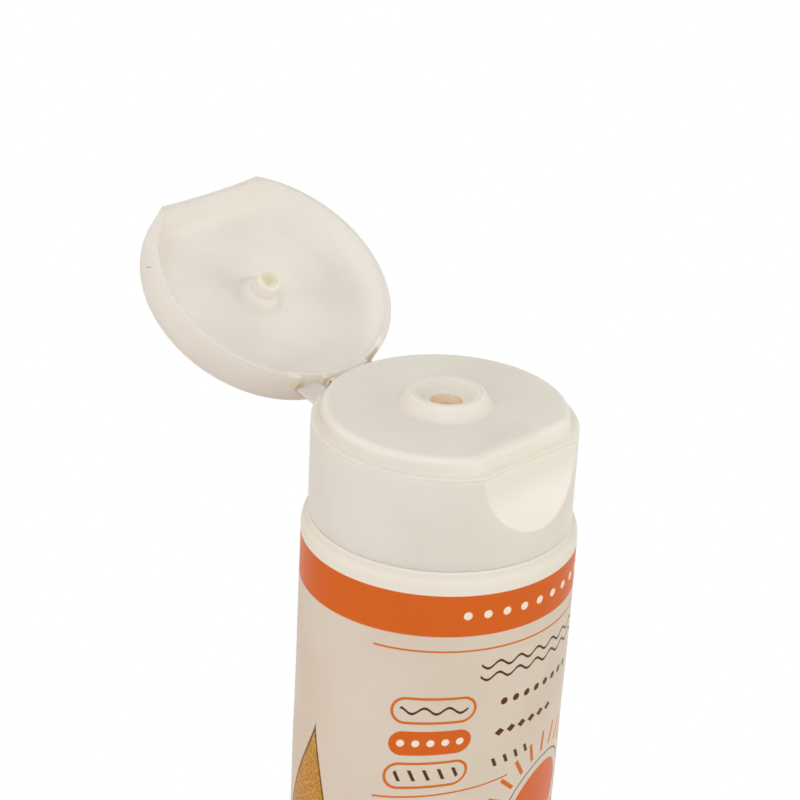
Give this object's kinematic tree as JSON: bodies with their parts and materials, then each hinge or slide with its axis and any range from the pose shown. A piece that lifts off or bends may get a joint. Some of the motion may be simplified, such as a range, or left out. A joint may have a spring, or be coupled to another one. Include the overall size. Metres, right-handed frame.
{
  "type": "flip-top squeeze tube",
  "caption": "Squeeze tube with a crimped tail and a flip-top cap with a thumb scoop, whose lid stands open on a butterfly hinge.",
  "frame": {"origin": "middle of the tail's cut edge, on the tube's axis", "axes": "+Z from the tail to the cap, -Y is the printed front with the thumb scoop, +Y is the hinge side, X runs along the crimp"},
  "size_m": [0.0546, 0.0651, 0.1334],
  "materials": {
    "tube_laminate": "satin printed laminate",
    "head_plastic": "matte natural plastic",
    "cap_plastic": "satin moulded plastic",
    "sunscreen_cream": "wet cream"
  },
  "bodies": {
    "tube": {"tube_sleeve": "tube_laminate", "tube_head": "head_plastic", "cap_body": "cap_plastic", "sunscreen_fill": "sunscreen_cream", "hinge_film": "cap_plastic"},
    "lid": {"flip_lid": "cap_plastic"},
    "left_strap": {"hinge_strap_left": "cap_plastic"},
    "right_strap": {"hinge_strap_right": "cap_plastic"}
  },
  "joints": [
    {"name": "lid_hinge", "type": "hinge", "parent": "tube", "child": "lid", "pos_m": [0, 0.01695, 0.11655], "axis": [1, 0, 0], "range_deg": [0, 147.9], "deforming": ["hinge_film"]},
    {"name": "left_strap_fold", "type": "hinge", "parent": "tube", "child": "left_strap", "pos_m": [-0.00132, 0.01695, 0.11655], "axis": [0.8695, 0.297, 0.3945], "range_deg": [0, 81.8]},
    {"name": "right_strap_fold", "type": "hinge", "parent": "tube", "child": "right_strap", "pos_m": [0.00132, 0.01695, 0.11655], "axis": [0.8695, -0.297, -0.3945], "range_deg": [0, 81.8]}
  ],
  "couplings": [
    {"joint": "left_strap_fold", "follows": "lid_hinge", "ratio": 0.5529},
    {"joint": "right_strap_fold", "follows": "lid_hinge", "ratio": 0.5529}
  ]
}
